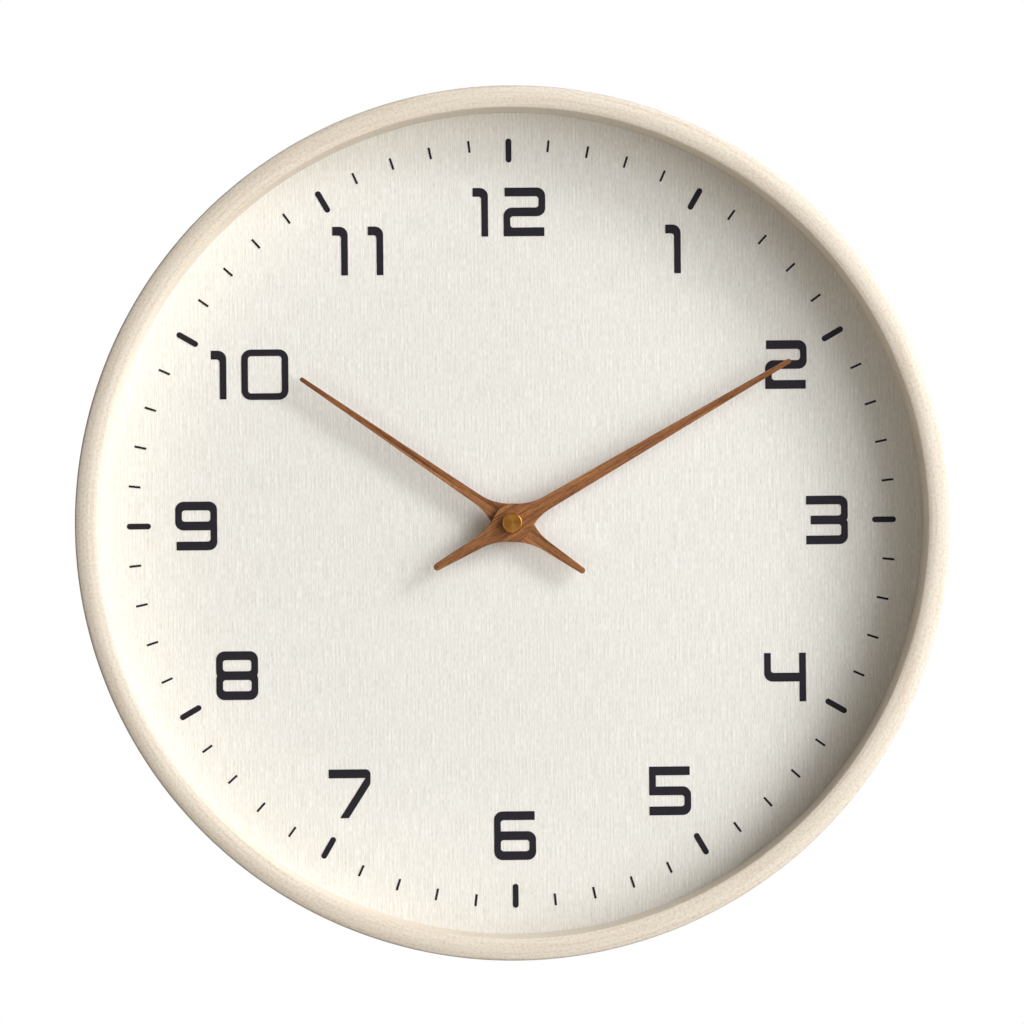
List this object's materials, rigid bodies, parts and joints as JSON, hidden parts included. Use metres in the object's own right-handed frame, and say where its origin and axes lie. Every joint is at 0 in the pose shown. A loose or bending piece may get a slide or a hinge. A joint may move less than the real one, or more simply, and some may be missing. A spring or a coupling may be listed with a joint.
{
  "type": "wall clock",
  "caption": "Round analogue quartz wall clock: pale bent-wood ring, recessed linen-textured dial with printed numerals, walnut hands and a battery movement behind the dial.",
  "frame": {"origin": "on the hands' axis, in the wall plane that the back of the ring rests on", "axes": "+Y along the hands' axis into the wall, so the dial faces -Y; +Z towards 12 o'clock; +X towards 3 o'clock"},
  "size_m": [0.3, 0.044, 0.3],
  "materials": {
    "frame_wood": "pale beech, sanded and matt lacquered",
    "board": "bare fibreboard",
    "dial_sheet": "off-white with a fine vertical linen texture",
    "ink": "matt navy-black screen print",
    "block_wood": "bare softwood",
    "steel": "zinc-plated sheet",
    "rubber": "matt",
    "brass": "turned",
    "case_plastic": "fine spark-textured moulding",
    "plate_plastic": "moulded",
    "gear_plastic": "moulded",
    "knob_plastic": "moulded",
    "copper": "enamelled winding wire",
    "iron": "soft iron sheet",
    "magnet": "sintered magnet",
    "pcb": "solder resist",
    "epoxy": "cast blob",
    "can_metal": "satin",
    "contact_metal": "nickel-plated strip",
    "cell_label": "printed sleeve with no text",
    "walnut": "oiled, fine grain along each hand",
    "arbor_metal": "turned"
  },
  "bodies": {
    "case": {"wood_frame": "frame_wood", "dial_board": "board", "dial_face": "dial_sheet", "numerals": "ink", "hour_marks": "ink", "minute_marks": "ink", "glue_blocks": "block_wood", "wall_hanger": "steel", "rubber_washer": "rubber", "threaded_bushing": "brass", "dial_washer": "brass", "shaft_nut": "brass", "case_front": "case_plastic", "case_back": "case_plastic", "middle_plate": "plate_plastic", "coil_bobbin": "gear_plastic", "coil_winding": "copper", "coil_core": "iron", "stator": "iron", "circuit_board": "pcb", "chip_blob": "epoxy", "quartz_crystal": "can_metal", "positive_contact": "contact_metal", "negative_contact": "contact_metal"},
    "minute_works": {"minute_arbor": "arbor_metal", "minute_hand": "walnut", "minute_collet": "brass", "cap_nut": "brass"},
    "minute_wheel_set": {"minute_wheel": "gear_plastic"},
    "hour_works": {"hour_wheel": "gear_plastic", "hour_hand": "walnut", "hour_collet": "brass"},
    "setting_works": {"setting_stem": "gear_plastic", "setting_knob": "knob_plastic"},
    "seconds_set": {"seconds_wheel": "gear_plastic"},
    "fifth_set": {"fifth_wheel": "gear_plastic"},
    "rotor": {"rotor_pinion": "gear_plastic", "rotor_magnet": "magnet"},
    "third_set": {"third_wheel": "gear_plastic"},
    "centre_set": {"centre_wheel": "gear_plastic"},
    "cell": {"cell_can": "cell_label", "cell_cap": "contact_metal"}
  },
  "joints": [
    {"name": "minute_hand_turn", "type": "hinge", "parent": "case", "child": "minute_works", "pos_m": [0, -0.01, 0], "axis": [0, 1, 0], "continuous": true},
    {"name": "minute_wheel_turn", "type": "hinge", "parent": "case", "child": "minute_wheel_set", "pos_m": [-0.01128, -0.01, -0.0041], "axis": [0, 1, 0], "continuous": true},
    {"name": "hour_hand_turn", "type": "hinge", "parent": "case", "child": "hour_works", "pos_m": [0, -0.01, 0], "axis": [0, 1, 0], "continuous": true},
    {"name": "setting_knob_turn", "type": "hinge", "parent": "case", "child": "setting_works", "pos_m": [-0.02167, -0.01, 0.0019], "axis": [0, 1, 0], "continuous": true},
    {"name": "seconds_wheel_turn", "type": "hinge", "parent": "case", "child": "seconds_set", "pos_m": [0, -0.01, 0], "axis": [0, 1, 0], "continuous": true},
    {"name": "fifth_wheel_turn", "type": "hinge", "parent": "case", "child": "fifth_set", "pos_m": [0.01151, -0.01, -0.00419], "axis": [0, 1, 0], "continuous": true},
    {"name": "rotor_turn", "type": "hinge", "parent": "case", "child": "rotor", "pos_m": [0.01691, -0.01, 0.00516], "axis": [0, 1, 0], "continuous": true},
    {"name": "third_wheel_turn", "type": "hinge", "parent": "case", "child": "third_set", "pos_m": [-0.00683, -0.01, 0.00975], "axis": [0, 1, 0], "continuous": true},
    {"name": "centre_wheel_turn", "type": "hinge", "parent": "case", "child": "centre_set", "pos_m": [0, -0.01, 0], "axis": [0, 1, 0], "continuous": true},
    {"name": "cell_slide", "type": "slide", "parent": "case", "child": "cell", "axis": [0, 1, 0], "range_m": [0, 0.02]}
  ],
  "couplings": [
    {"joint": "minute_wheel_turn", "follows": "minute_hand_turn", "ratio": -0.33333},
    {"joint": "hour_hand_turn", "follows": "minute_hand_turn", "ratio": 0.083333},
    {"joint": "setting_knob_turn", "follows": "minute_hand_turn", "ratio": 1},
    {"joint": "fifth_wheel_turn", "follows": "seconds_wheel_turn", "ratio": -6},
    {"joint": "rotor_turn", "follows": "seconds_wheel_turn", "ratio": 30},
    {"joint": "third_wheel_turn", "follows": "seconds_wheel_turn", "ratio": -0.13333},
    {"joint": "centre_wheel_turn", "follows": "seconds_wheel_turn", "ratio": 0.016667}
  ]
}
